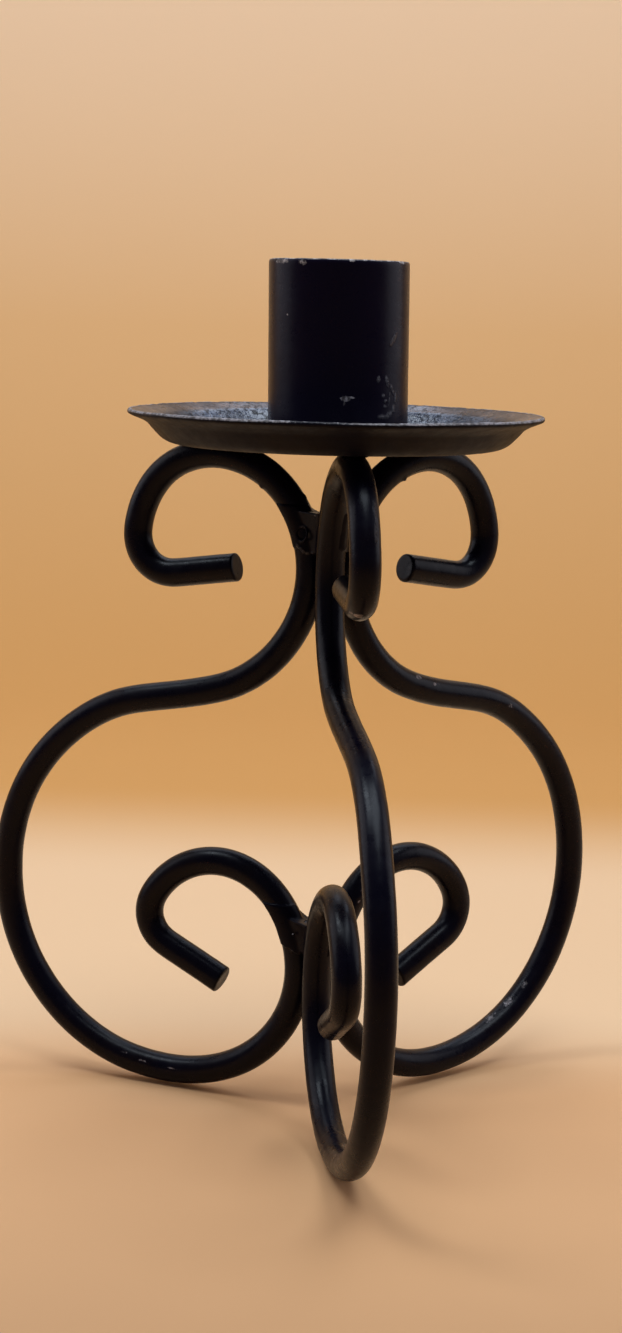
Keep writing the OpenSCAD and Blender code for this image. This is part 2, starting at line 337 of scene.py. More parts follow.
def surface_net(field, low, step):
    """Closed surface where a sampled field is zero: one point in each crossed cell, joined by quads."""
    cells = np.array(field.shape) - 1
    total, count = np.zeros((*cells, 3)), np.zeros(cells)
    crossings = []
    for axis in range(3):
        f = np.moveaxis(field, axis, 0)
        a, b = f[:-1], f[1:]
        i, j, k = np.nonzero((a < 0) != (b < 0))
        inside = (j > 0) & (j < f.shape[1] - 1) & (k > 0) & (k < f.shape[2] - 1)
        i, j, k = i[inside], j[inside], k[inside]
        share = a[i, j, k] / (a[i, j, k] - b[i, j, k])
        order = {0: (0, 1, 2), 1: (1, 0, 2), 2: (1, 2, 0)}[axis]
        place = np.stack([i + share, j, k], 1)[:, order]
        corners = []
        for dj, dk in ((-1, -1), (0, -1), (0, 0), (-1, 0)):
            cell = np.stack([i, j + dj, k + dk], 1)[:, order]
            corners.append(cell)
            np.add.at(total, tuple(cell.T), place)
            np.add.at(count, tuple(cell.T), 1)
        crossings.append((axis, a[i, j, k] < 0, corners))
    used = count > 0
    number = np.full(cells, -1)
    number[used] = np.arange(used.sum())
    points = np.array(low) + step * (total[used] / count[used][:, None])
    faces = []
    for axis, inside, corners in crossings:
        ids = np.stack([number[tuple(c.T)] for c in corners], 1)
        flip = inside if axis != 1 else ~inside
        ids[~flip] = ids[~flip][:, ::-1]
        faces += ids.tolist()
    return points, faces


def smooth_min(a, b, reach):
    """The smaller of two fields, with the crease between them rounded over a reach."""
    h = np.clip(0.5 + 0.5 * (b - a) / reach, 0, 1)
    return b * (1 - h) + a * h - reach * h * (1 - h)


def smooth_max(a, b, reach):
    """The larger of two fields, rounded in the same way."""
    return -smooth_min(-a, -b, reach)


def line_distance(points, line):
    """Distance from each point to a chain of points, which lie close together."""
    best = np.full(len(points), 1e9)
    for a, b in zip(line[:-1], line[1:]):
        along = b - a
        t = np.clip(((points - a) @ along) / (along @ along), 0, 1)
        best = np.minimum(best, ((points - a - t[:, None] * along) ** 2).sum(1))
    return np.sqrt(best)


def rod_near(name, z_low, z_high):
    """Middle line of a leg between two heights, near the middle of the holder."""
    points = leg_line(name)[0]
    near = (points[:, 2] > z_low) & (points[:, 2] < z_high) & (points[:, 0] < NEAR_MIDDLE)
    near = np.nonzero(near)[0]
    return turned(points[near[0]:near[-1] + 1:2], LEG_WAYS[name])


def spread(bend_r, rise):
    """Distance of the rods' middle lines from the middle, at a height above the closest point."""
    return JOINT_R + bend_r - np.sqrt(bend_r ** 2 - np.minimum(rise, bend_r * 0.95) ** 2)


# Each joint's height, the radius of the rods' bends above it, and the seed of its noise
JOINTS = {"upper": (UPPER_JOINT_Z, NECK_R, 31), "lower": (LOWER_JOINT_Z, SCROLL_R, 41)}
# The box round a joint's weld metal: half its width, and its heights above the joint
WELD_HALF, WELD_LOW, WELD_HIGH = 11.5, 2.4, 16.0
# How far out from the middle a rod's line is followed there, and how far past the box's ends
NEAR_MIDDLE, PAST_BOX = 14, 4
# Each web of a joint, by its way out from the middle and the first of its two rods: heights of the step
# where it was run out over that rod, of its top at the two rods, of its lower lip, the run's thickness,
# and how far the web's edge climbs that rod
WEBS = {
    "upper": {(-150.0, "left_leg"): (12.4, 12.1, 11.9, 3.9, 0.22, 0.6),
              (-30.0, "front_leg"): (11.8, 10.8, 10.6, 4.4, 0.25, 0.3),
              (90.0, "right_leg"): (12.4, 11.2, 11.0, 4.0, 0.30, 0.4)},
    "lower": {(-150.0, "left_leg"): (12.7, 10.9, 10.5, 4.1, 0.26, 0.5),
              (-30.0, "front_leg"): (11.4, 10.1, 9.9, 4.2, 0.20, 0.3),
              (90.0, "right_leg"): (12.0, 10.2, 10.0, 4.0, 0.25, 0.4)},
}
# Round marks in the weld metal, from the joint's middle: place, radius, and +1 for a bead or -1 for a pit
PIPS = {
    "upper": [((-5.45, -0.50, 7.45), 1.00, -1), ((-3.2, -3.5, 10.8), 0.42, 1), ((-2.2, -4.6, 8.2), 0.3, 1)],
    "lower": [((-2.5, -0.6, 10.1), 0.36, 1), ((-4.97, -1.0, 7.66), 0.33, 1), ((4.6, -2.4, 9.0), 0.4, 1)],
}
# The raised ring of a burst bubble: its place from the joint's middle, its radius and its thickness
CRATER = {"upper": ((-5.2, -0.35, 7.4), 1.38, 0.22), "lower": None}
CRATER_WAY, CRATER_RISE = -150.0, 0.15
# Half the distance between two rods and half a web's width, as shares of the rods' distance from the middle
HALF_APART, WEB_HALF = 0.866, 0.9
# A web's face stands out past the line between its rods and sags back. Its top sags, climbs over a first
# share of the web, and falls towards the middle over a reach
FACE_OUT, FACE_SAG, TOP_SAG, CLIMB_SHARE, TOP_FALL, FALL_REACH = 2.0, 0.25, 0.35, 0.28, 0.15, 4
# Its lower lip rises towards the first rod over a share of the web, and waves
LIP_RISE, LIP_SHARE, LIP_WAVE, LIP_WAVES = 0.9, 0.35, 0.15, 3.1
# The run goes on past the first rod's middle line, and in from the line between the two rods
RUN_PAST, RUN_IN = 1.6, 1.4
# Rounding of a web's top and lip, of a run's step, lip and ends, and of where the two join
TOP_SOFT, WEB_LIP_SOFT, STEP_SOFT, RUN_LIP_SOFT, RUN_SOFT, JOIN_SOFT = 0.45, 0.35, 0.18, 0.3, 0.6, 0.3
# Thin metal on the rods, how softly it, the pips and the pits blend in, and how far past the webs it ends
ROD_COVER, COVER_SOFT, PIP_SOFT, PIT_SOFT, WELD_PAST = 0.12, 0.8, 0.2, 0.15, 0.9
WELD_RIPPLES = ((0.06, 1.9, 0), (0.02, 0.8, 1))


def web_fields(p, rise, middle, rod, way, sizes, seed):
    """Signed distances, roughly, to a web and to the metal run out over the first of its rods."""
    step_up, top_a, top_b, low, coat, climb = sizes
    out = p[:, 0] * cos(way) + p[:, 1] * sin(way)
    along = p[:, 1] * cos(way) - p[:, 0] * sin(way)
    share = np.clip(0.5 + along / (2 * HALF_APART * middle), 0, 1)
    sag = 4 * share * (1 - share)
    face = middle / 2 + FACE_OUT - FACE_SAG * sag
    top = top_a * (1 - share) + top_b * share - TOP_SAG * sag
    top = top + climb * np.clip(1 - share / CLIMB_SHARE, 0, 1) ** 2
    top = top - TOP_FALL * np.clip(face - out, 0, FALL_REACH)
    lip = low + LIP_RISE * (1 - ramp(share, 0.0, LIP_SHARE)) + LIP_WAVE * np.sin(along * LIP_WAVES + seed)
    web = smooth_max(out - face, rise - top, TOP_SOFT)
    web = smooth_max(web, lip - rise, WEB_LIP_SOFT)
    web = np.maximum(web, np.maximum(np.abs(along) - WEB_HALF * middle, -out))
    # The run ends in a step
    run = smooth_max(rod - coat, rise - step_up, STEP_SOFT)
    run = smooth_max(run, lip - rise, RUN_LIP_SOFT)
    run = smooth_max(run, -along - HALF_APART * middle - RUN_PAST, RUN_SOFT)
    return web, smooth_max(run, middle / 2 - RUN_IN - out, RUN_SOFT)


def crater_field(local, place, radius, thick):
    """Signed distance to a ring round an axis that points out and a little up."""
    axis = np.array([cos(CRATER_WAY), sin(CRATER_WAY), CRATER_RISE])
    axis /= np.linalg.norm(axis)
    from_place = local - np.array(place)
    deep = from_place @ axis
    flat = np.sqrt(np.maximum((from_place ** 2).sum(1) - deep ** 2, 0))
    return np.hypot(flat - radius, deep) - thick


def weld_field(p, joint, lines):
    """Signed distance, roughly, to the weld metal in the fork above a joint."""
    joint_z, bend_r, seed = JOINTS[joint]
    rods = {name: line_distance(p, line) - PAINTED_R for name, line in lines.items()}
    every_rod = np.minimum.reduce(list(rods.values()))
    rise = p[:, 2] - joint_z
    middle = spread(bend_r, np.clip(rise, 0, None))
    body = np.full(len(p), 1e9)
    for (way, first), sizes in WEBS[joint].items():
        web, run = web_fields(p, rise, middle, rods[first], way, sizes, seed)
        body = smooth_min(np.minimum(body, web), run, JOIN_SOFT)
    body += ripples(p, WELD_RIPPLES, seed)
    body = smooth_min(body, every_rod + ROD_COVER, COVER_SOFT)
    local = p - np.array([0, 0, joint_z])
    for place, radius, sign in PIPS[joint]:
        ball = np.linalg.norm(local - np.array(place), axis=1) - radius
        body = smooth_min(body, ball, PIP_SOFT) if sign > 0 else smooth_max(body, -ball, PIT_SOFT)
    if CRATER[joint]:
        body = smooth_min(body, crater_field(local, *CRATER[joint]), PIP_SOFT)
    low = min(sizes[3] for sizes in WEBS[joint].values())
    high = max(sizes[0] for sizes in WEBS[joint].values())
    return np.maximum(body, np.abs(rise - (low + high) / 2) - (high - low) / 2 - WELD_PAST)


def weld_mesh(joint, step=0.17, coarse=4, near_mm=0.8):
    """Surface of the weld metal: the field is worked out finely only near the surface."""
    z_low, z_high = JOINTS[joint][0] + WELD_LOW, JOINTS[joint][0] + WELD_HIGH
    base = np.array([-WELD_HALF, -WELD_HALF, z_low])
    extent = np.array([2 * WELD_HALF, 2 * WELD_HALF, WELD_HIGH - WELD_LOW])
    cells = np.ceil(extent / (step * coarse)).astype(int) + 1
    lines = {name: rod_near(name, z_low - PAST_BOX, z_high + PAST_BOX) for name in LEG_WAYS}
    index = np.indices(cells).reshape(3, -1).T
    field = weld_field(base + (index * coarse + (coarse - 1) / 2) * step, joint, lines).reshape(cells)
    for axis in range(3):
        field = np.repeat(field, coarse, axis=axis)
    near = np.nonzero(np.abs(field) < near_mm)
    field[near] = weld_field(base + np.stack(near, 1) * step, joint, lines)
    return surface_net(field, base, step)


def add_weld(joint, material):
    """The weld metal above one joint."""
    points, faces = weld_mesh(joint)
    add_piece(joint + "_weld_metal", joint + "_weld", points, faces, material)


# Drip pan: a little off the middle and tilted, trimmed at its edge, and lower under its floor
PAN_SHIFT, PAN_TILT, PAN_TRIM, PAN_DEEPER = 0.45, 0.3, 0.13, 0.37
PAN_HUB_R, PAN_STEP, PAN_AROUND = 1.0, 0.55, 640
# Stretches over which a change sets in, as distances from the pan's middle
WAVY_LIP, SHEARED_EDGE, DEEPER_TO = (33.5, 38.0), (37.1, 37.8), (33.2, 36.0)
PAINT_FROM, PAINT_TO = (13, 15), (31.5, 34.5)


def sheet_line(bends, point, heading, step):
    """Points and headings along a bent sheet's middle line, as (r, z, heading)."""
    out = []
    x, z, h = point[0], point[1], heading
    for size, turn in bends:
        length = size * math.radians(abs(turn)) if turn else size
        count = max(1, int(round(length / step)))
        for i in range(count):
            out.append((x, z, h))
            middle = math.radians(h + turn / count / 2)
            part = length / count
            x, z, h = x + part * math.cos(middle), z + part * math.sin(middle), h + turn / count
    out.append((x, z, h))
    return np.array(out)


def pan_profile():
    """Middle line of the pan's sheet: floor, corner, wall, bend and lip."""
    corner_rise = PAN_CORNER_R * (1 - cos(WALL_SLOPE))
    bend_rise = LIP_BEND_R * (cos(LIP_SLOPE) - cos(WALL_SLOPE))
    wall = (PAN_RISE - corner_rise - bend_rise - LIP_L * sin(LIP_SLOPE)) / sin(WALL_SLOPE)
    side_run = (PAN_CORNER_R * sin(WALL_SLOPE) + wall * cos(WALL_SLOPE)
                + LIP_BEND_R * (sin(WALL_SLOPE) - sin(LIP_SLOPE)) + LIP_L * cos(LIP_SLOPE))
    floor_r = PAN_R - PAN_T / 2 - side_run
    bends = [(floor_r - PAN_HUB_R, 0), (PAN_CORNER_R, WALL_SLOPE), (wall, 0),
             (LIP_BEND_R, LIP_SLOPE - WALL_SLOPE), (LIP_L, 0)]
    return sheet_line(bends, (PAN_HUB_R, PAN_Z + PAN_T / 2), 0, PAN_STEP)


def pan_outline():
    """Outline of the sheet's section, from under the middle round the edge, and where its top begins."""
    line = pan_profile()
    heads = np.radians(line[:, 2])
    out = np.stack([-np.sin(heads), np.cos(heads)], 1)
    over = line[:, :2] + out * PAN_T / 2
    under = line[:, :2] - out * PAN_T / 2
    lip = line[-1, 2]
    edge = [line[-1, :2] + PAN_T / 2 * np.array([cos(lip + a), sin(lip + a)]) for a in range(-75, 76, 15)]
    return np.concatenate([under, edge, over[::-1]]), len(under) + len(edge) // 2


def add_pan(material):
    """The pan, with what hand work and thick paint did to it."""
    profile, top_from = pan_outline()
    points = revolved(profile, PAN_AROUND)
    side = np.repeat(profile[:, 0], PAN_AROUND)
    top = np.repeat(np.where(np.arange(len(profile)) < top_from, 0.0, 1.0), PAN_AROUND)
    # The pressed rim waves a little, and its edge was cut by hand shears
    flat = points * [1, 1, 0]
    points[:, 2] += ramp(side, *WAVY_LIP) * ripples(flat, ((0.12, 15, 0), (0.05, 4, 1)), 4)
    edge_share = ramp(side, *SHEARED_EDGE)
    notches = np.clip(wobble(flat, 1.3, 8) - 0.15, 0, 1) + 0.5 * np.clip(wobble(flat, 0.7, 9) - 0.2, 0, 1)
    points[:, 2] -= edge_share * top * 0.30 * notches
    points[:, :2] *= (1 - edge_share * (PAN_TRIM + 0.16 * notches) / PAN_R)[:, None]
    # Thick paint on the inside has run and wrinkled: sharp little ridges near the cup and on the wall
    inside = ramp(side, *PAINT_FROM) * (1 - ramp(side, *PAINT_TO)) * top
    ridges = 1 - 2 * np.abs(wobble(points, 1.7, 11)) + 0.5 * (1 - 2 * np.abs(wobble(points, 0.8, 12)))
    patches = ramp(wobble(flat, 8.0, 13), -0.25, 0.3)
    points[:, 2] += inside * (0.12 * wobble(points, 4.5, 14) + 0.20 * patches * ridges)
    # Inside the lip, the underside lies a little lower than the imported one, as the photo shows
    points[:, 2] -= PAN_DEEPER * (1 - ramp(side, *DEEPER_TO)) * (1 - top)
    points[:, 2] += math.tan(math.radians(PAN_TILT)) * points[:, 0]
    points[:, 0] += PAN_SHIFT
    faces = tube_faces(len(profile), PAN_AROUND)
    add_piece("drip_pan_sheet", "drip_pan", points, faces, material)


# Cup: off the middle too, leaning back to the left, and a little thicker under its paint
CUP_SHIFT, CUP_LEAN, CUP_SWELL = 0.85, 1.1, 0.04
CUP_TOP = FLOOR_Z + CUP_H - 0.02
CUP_AROUND, MID_WALL_R, MOUTH_BELOW = 300, 12.0, 0.7
# The worn mouth, as (in from the outside or out from the bore, below the top)
MOUTH_OUTSIDE = ((0.02, 0.45), (0.08, 0.24), (0.2, 0.09), (0.36, 0.02), (0.55, 0))
MOUTH_INSIDE = ((0.4, 0.01), (0.22, 0.06), (0.08, 0.2))


def add_cup(material):
    """The cup: a tube with a worn, dented mouth."""
    outer_r = CUP_R + CUP_SWELL
    profile = [(outer_r, z) for z in np.linspace(FLOOR_Z, CUP_TOP - MOUTH_BELOW, 60)]
    profile += [(outer_r - inset, CUP_TOP - drop) for inset, drop in MOUTH_OUTSIDE]
    profile += [((CUP_R + BORE_R) / 2, CUP_TOP)]
    profile += [(BORE_R + outset, CUP_TOP - drop) for outset, drop in MOUTH_INSIDE]
    profile += [(BORE_R, z) for z in np.linspace(CUP_TOP - CUP_BEVEL, FLOOR_Z, 44)]
    points = revolved(np.array(profile), CUP_AROUND)
    outward = np.where(points[:, 0] ** 2 + points[:, 1] ** 2 > MID_WALL_R ** 2, 1.0, 0.0)
    points[:, :2] *= (1 + outward * 0.0016 * wobble(points, 6.0, 21))[:, None]
    # The sawn mouth is dented and chipped here and there
    mouth_share = ramp(points[:, 2], CUP_TOP - 0.9, CUP_TOP - 0.1)
    points[:, 2] -= mouth_share * 0.16 * np.clip(wobble(points * [1, 1, 0], 2.4, 22), 0, 1)
    points[:, 0] += CUP_SHIFT - (points[:, 2] - FLOOR_Z) * math.tan(math.radians(CUP_LEAN))
    faces = ring_faces(len(profile), CUP_AROUND, close=True)
    add_piece("candle_cup_tube", "candle_cup", points, faces, material)


# Beads: drops round the cup's foot, the roundness of their section, and their reach into cup and pan
BEAD_DROPS, BEAD_ROUND, BEAD_IN, BEAD_DOWN, BEAD_BACK = 34, 1.25, 0.05, 0.06, 0.3
BEAD_AROUND, BEAD_ACROSS = 420, 14
TACK_HALF_W, TACK_HALF_H, TACK_DROP = 0.95, 0.62, 0.35
TACK_RINGS, TACK_SIDES = 20, 16


def add_cup_bead(material):
    """Weld bead round the foot of the cup: overlapping drops, laid one after the other."""
    a = np.linspace(0, 2 * math.pi, BEAD_AROUND, endpoint=False)[:, None]
    share = np.linspace(0, 1, BEAD_ACROSS) * math.pi / 2
    drop = (a * BEAD_DROPS / (2 * math.pi) + 0.25 * np.sin(3 * a)) % 1
    bulge = np.sqrt(np.maximum(0, 1 - (2 * drop - 1) ** 2))
    size = CUP_BEAD * (0.86 + 0.12 * bulge + 0.05 * np.sin(5 * a + 1))
    r = CUP_R - BEAD_IN + size * np.sin(share) ** BEAD_ROUND
    lift = size * np.cos(share) ** BEAD_ROUND
    shown = np.stack([r * np.cos(a), r * np.sin(a), FLOOR_Z - BEAD_DOWN + lift], -1)
    shown[..., 2] += 0.05 * wobble(shown.reshape(-1, 3), 0.9, 51).reshape(r.shape)
    hidden = revolved(np.array([[CUP_R - BEAD_BACK, FLOOR_Z - BEAD_DOWN]]), BEAD_AROUND)
    points = np.concatenate([shown, hidden[:, None]], 1).reshape(-1, 3)
    points[:, 0] += CUP_SHIFT
    faces = ring_faces(BEAD_AROUND, BEAD_ACROSS + 1, close=True)
    add_piece("cup_weld_bead", "cup_weld", points, faces, material)


def add_tacks(material):
    """The short beads that hold the pan on the crowns, one on either side of each rod."""
    points, faces = [], []
    angles = np.linspace(0, 2 * math.pi, TACK_SIDES, endpoint=False)
    s, a = np.meshgrid(np.linspace(-1, 1, TACK_RINGS), angles, indexing="ij")
    for leg, way in LEG_WAYS.items():
        line = leg_line(leg)[0]
        up = line[:len(line) // 3]
        crown = up[np.argmax(up[:, 2])]
        for side in (-1, 1):
            faces += [quad[::side] for quad in ring_faces(TACK_RINGS, TACK_SIDES, first=len(points))]
            fat = np.sqrt(np.maximum(0, 1 - s * s)) * (1 + 0.16 * np.sin(9 * s + side))
            bead = np.stack([crown[0] + s * TACK_LONG / 2,
                             crown[1] + side * (TACK_OUT + TACK_HALF_W * fat * np.cos(a)),
                             PAN_Z - TACK_DROP + TACK_HALF_H * fat * np.sin(a)], -1)
            points.extend(turned(bead.reshape(-1, 3), way))
    add_piece("pan_tack_beads", "pan_tacks", points, faces, material)


# Materials


class Net:
    """A material's node tree, with short ways of adding the nodes that the materials share."""

    def __init__(self, name):
        self.material = bpy.data.materials.new(name)
        self.material.use_nodes = True
        self.nodes = self.material.node_tree.nodes
        self.shader = self.nodes["Principled BSDF"]
        self.place = self.add("ShaderNodeTexCoord").outputs["Object"]

    def add(self, kind, **inputs):
        """A new node, with some of its inputs set by name."""
        node = self.nodes.new(kind)
        for name, value in inputs.items():
            self.set(node.inputs[name], value)
        return node

    def set(self, socket, value):
        """Links a socket to another one, or gives it a plain value."""
        if isinstance(value, bpy.types.NodeSocket):
            self.material.node_tree.links.new(value, socket)
        else:
            socket.default_value = value

    def noise(self, size_mm, detail=3.0, roughness=0.5):
        """Noise with features of about size_mm."""
        return self.add("ShaderNodeTexNoise", Vector=self.place, Scale=1 / (size_mm * MM), Detail=detail,
                        Roughness=roughness).outputs["Fac"]

    def math(self, operation, a, b=0.0, clamp=False):
        node = self.add("ShaderNodeMath")
        node.operation = operation
        node.use_clamp = clamp
        self.set(node.inputs[0], a)
        self.set(node.inputs[1], b)
        return node.outputs["Value"]

    def times(self, a, b):
        return self.math("MULTIPLY", a, b)

    def plus(self, a, b):
        return self.math("ADD", a, b)

    def minus(self, a, b):
        return self.math("SUBTRACT", a, b)

    def span(self, value, low, high, to_low=0.0, to_high=1.0, smooth=False):
        """Maps low..high to to_low..to_high, clamped."""
        node = self.add("ShaderNodeMapRange")
        node.interpolation_type = "SMOOTHSTEP" if smooth else "LINEAR"
        for socket, limit in zip(node.inputs, (value, low, high, to_low, to_high)):
            self.set(socket, limit)
        return node.outputs["Result"]

    def mix(self, share, a, b):
        """Colour a, turning to colour b."""
        node = self.add("ShaderNodeMix")
        node.data_type = "RGBA"
        self.set(node.inputs["Factor"], share)
        for number, colour in ((6, a), (7, b)):
            self.set(node.inputs[number], (*colour, 1) if isinstance(colour, tuple) else colour)
        return node.outputs[2]

    def spot(self, centre, sizes, turn=(0, 0, 0)):
        """1 in the middle of an ellipsoid and 0 on its surface and outside, in millimetres and degrees."""
        mapping = self.add("ShaderNodeMapping", Vector=self.place, Location=[c * MM for c in centre],
                           Rotation=[math.radians(a) for a in turn], Scale=[s * MM for s in sizes])
        mapping.vector_type = "TEXTURE"
        length = self.add("ShaderNodeVectorMath")
        length.operation = "LENGTH"
        self.set(length.inputs[0], mapping.outputs["Vector"])
        return self.math("SUBTRACT", 1.0, length.outputs["Value"], clamp=True)

    def spots(self, rows, gain=1.0):
        """A mask for each row of (centre, sizes, strength), which may end with the spot's turn."""
        return [self.times(self.spot(centre, sizes, *turn), gain * strength)
                for centre, sizes, strength, *turn in rows]

    def along(self, axis):
        """The object's X, Y or Z in millimetres."""
        parts = self.add("ShaderNodeSeparateXYZ", Vector=self.place)
        return self.times(parts.outputs[axis], 1 / MM)

    def upward(self):
        """1 where the surface faces up, 0 where it faces down."""
        normal = self.add("ShaderNodeNewGeometry").outputs["Normal"]
        return self.span(self.add("ShaderNodeSeparateXYZ", Vector=normal).outputs["Z"], 0.1, 0.3)

    def most(self, values):
        """The largest of several values."""
        out = values[0]
        for value in values[1:]:
            out = self.math("MAXIMUM", out, value)
        return out

    def radius_and_height(self, shift=0.0, tilt=0.0):
        """Millimetres from an upright axis at X = shift, and above a floor that is tilted along X."""
        x, y, z = (self.along(axis) for axis in "XYZ")
        x = self.minus(x, shift)
        height = self.minus(z, self.times(x, math.tan(math.radians(tilt))))
        return self.math("SQRT", self.plus(self.times(x, x), self.times(y, y))), height


# Paint: its blacks, with brownish patches that are partly painted warm reflection, dust and rubs, the metal
# under it, the grey-blue blooming and painted blue sheen in the pan, its gloss and its relief. Rubs and
# bare metal on the welds are partly painted highlights
# The blacks: the brownish one is a thin coat and also a painted warm reflection
BLACK, BROWN_AND_WARM_SHEEN, CUP_BLACK = (0.0018, 0.0015, 0.0062), (0.0046, 0.0022, 0.0026), (0.0044, 0.0026, 0.0125)
# Dust, dulled paint that on the welds also paints highlights, and the cup's dulled paint
DUST, RUB_AND_HIGHLIGHT, CUP_RUB = (0.040, 0.038, 0.044), (0.050, 0.049, 0.056), (0.092, 0.090, 0.100)
# Bare metal: the pale one also paints highlights on the weld beads
PALE_SCUFF_AND_HIGHLIGHT, SCUFF_DARK = (0.46, 0.43, 0.42), (0.085, 0.075, 0.074)
# Pale worn metal, and grey-blue dust with a painted blue sheen of reflected light
WORN_PALE, BLOOM_AND_PAINTED_SHEEN = (0.27, 0.25, 0.26), (0.052, 0.061, 0.095)
GLOSS, WELD_GLOSS = 0.13, 0.075
PEEL_DEPTH = 0.05


def black_paint(name, marks=(), rubbed_and_highlit=(), roughness=(0.24, 0.36), peel=1.0, base=BLACK,
                worn=None, brown_and_sheen=0.5, wrinkled=None, painted_sheen=None, pale=PALE_SCUFF_AND_HIGHLIGHT, rub_and_highlight=RUB_AND_HIGHLIGHT, gloss=GLOSS):
    """Brushed black paint over steel: orange peel, dust nibs, brownish patches of thin coat that also paint
    a warm reflection, and scuffs.

    marks are chips to the metal, and on the weld beads also painted highlights. The rubs are places where
    the paint is dulled or has a sag, and on the welds' lips and crater rim also painted highlights. worn,
    wrinkled and the sheen function make masks of bare metal, of wrinkles and of a grey-blue blooming with a
    painted blue sheen of reflected light.
    pale is the bare metal's colour, also of the painted highlights on the weld beads, and the rubs' colour
    is that of dulled paint and of the painted highlights on the welds.
    """
    net = Net(name)
    shader = net.shader
    broad, drift = net.noise(11.0, 4.0), net.noise(3.2, 3.0, 0.55)
    fine, grain = net.noise(0.9, 3.0, 0.6), net.noise(0.28, 2.0, 0.6)
    # Brownish patches: a thin coat, and a painted warm reflection, most on the pan
    colour = net.mix(net.span(broad, 0.42, 0.68, 0.0, brown_and_sheen, smooth=True), base, BROWN_AND_WARM_SHEEN)
    colour = net.mix(net.span(grain, 0.70, 0.78, 0.0, 0.5), colour, DUST)
    rough = net.span(net.plus(net.times(drift, 0.6), net.times(fine, 0.4)), 0.36, 0.62, *roughness)
    height = net.plus(net.times(drift, 1.6), net.plus(net.times(fine, 0.55), net.times(grain, 0.12)))
    if painted_sheen:
        # Inside the pan: grey-blue dust and a painted blue sheen of reflected light, under a glossy coat on
        # the same mask
        bloom_and_sheen = painted_sheen(net)
        colour = net.mix(bloom_and_sheen, colour, BLOOM_AND_PAINTED_SHEEN)
        # The pan's underside was only dusted with paint, so it is duller
        rough = net.plus(rough, net.times(net.minus(1.0, net.upward()), 0.24))
        net.set(shader.inputs["Coat Weight"], net.math("MULTIPLY", bloom_and_sheen, 0.95, clamp=True))
        shader.inputs["Coat Roughness"].default_value = 0.14
        shader.inputs["Coat IOR"].default_value = 1.5
    if rubbed_and_highlit:
        # Dulled paint and sags, which on the welds' lips and crater rim also paint highlights
        patchy = net.span(net.noise(0.8, 3.0, 0.7), 0.40, 0.56, 0.25, 1.6)
        sag_and_highlight = net.times(net.most(net.spots(rubbed_and_highlit)), patchy)
        colour = net.mix(net.span(sag_and_highlight, 0.08, 0.9, 0.0, 0.9), colour, rub_and_highlight)
        height = net.plus(height, net.times(sag_and_highlight, 5.0))
    if wrinkled:
        crease = net.math("ABSOLUTE", net.minus(net.noise(1.5, 3.0, 0.6), 0.5))
        folds = net.times(net.minus(0.25, crease), 14.0)
        height = net.plus(height, net.times(wrinkled(net), folds))
    ragged = net.times(net.noise(0.5, 4.0, 0.7), 0.75)
    # Chips and worn metal, which on the weld beads also paint highlights
    masks = net.spots(marks, 1.1) + ([worn(net)] if worn else [])
    chips_and_highlights = net.span(net.plus(net.most(masks), ragged), 0.72, 0.82)
    bare = net.mix(net.span(fine, 0.42, 0.58), SCUFF_DARK, pale)
    net.set(shader.inputs["Base Color"], net.mix(chips_and_highlights, colour, bare))
    net.set(shader.inputs["Roughness"], net.plus(rough, net.times(chips_and_highlights, 0.18)))
    shader.inputs["Specular IOR Level"].default_value = gloss
    height = net.minus(height, net.times(chips_and_highlights, 0.5))
    relief = net.add("ShaderNodeBump", Strength=0.6, Distance=PEEL_DEPTH * MM * peel, Height=height)
    net.set(shader.inputs["Normal"], relief.outputs["Normal"])
    if painted_sheen:
        net.set(shader.inputs["Coat Normal"], relief.outputs["Normal"])
    return net.material


# Chips and scuffs, and on the weld beads painted highlights: centre, half sizes and strength, and the
# spot's turn where it has one
ROD_MARKS = [
    ((19.4, 8.9, 82.0), (1.3, 1.3, 0.7), 0.9),
    ((22.95, 10.6, 80.4), (0.7, 0.7, 0.6), 0.9),
    ((40.5, 20.3, 74.4), (1.9, 1.9, 2.0), 0.42),
    ((-35.6, 17.3, 5.6), (3.0, 1.6, 0.7), 0.50, (0, 10, -25)),
    ((-32.0, 15.2, 4.5), (2.4, 1.6, 0.5), 0.52, (0, 8, -25)),
    ((-26.2, 12.2, 3.9), (3.0, 1.6, 0.35), 0.52, (0, 4, -25)),
    ((39.4, 22.1, 9.6), (4.0, 2.5, 1.5), 0.46, (0, -38, 30)),
    ((43.6, 24.2, 12.4), (3.6, 2.5, 1.3), 0.5, (0, -44, 30)),
    ((47.2, 25.7, 15.4), (3.2, 2.5, 1.2), 0.42, (0, -50, 30)),
    ((-0.8, -37.2, 100.1), (1.5, 2.2, 0.8), 0.8),
    ((-2.2, -36.6, 100.4), (1.0, 1.2, 0.7), 0.8),
    ((7.86, 1.41, 39.97), (0.65, 0.8, 0.35), 0.8, (0, -35, 0)),
    ((8.35, 1.87, 42.0), (0.55, 0.8, 0.3), 0.8, (0, -35, 0)),
    ((2.3, -52.0, 66.0), (0.6, 0.8, 0.6), 0.8),
    ((27.0, 12.0, 79.0), (1.2, 1.2, 1.0), 0.36),
    ((-52.0, 30.0, 62.0), (2.2, 2.2, 2.2), 0.34),
    ((-20.0, 31.0, 30.0), (2.0, 2.0, 2.0), 0.34),
]
# Pale spots on the weld beads: bare metal, and painted highlights
WELD_CHIPS_AND_HIGHLIGHTS = [
    ((-3.3, -3.7, 113.9), (0.6, 0.6, 0.5), 0.8),
    ((-2.65, -1.24, 36.9), (0.6, 0.6, 0.6), 0.8),
    ((-5.05, -1.2, 34.5), (0.45, 0.45, 0.45), 0.5),
]
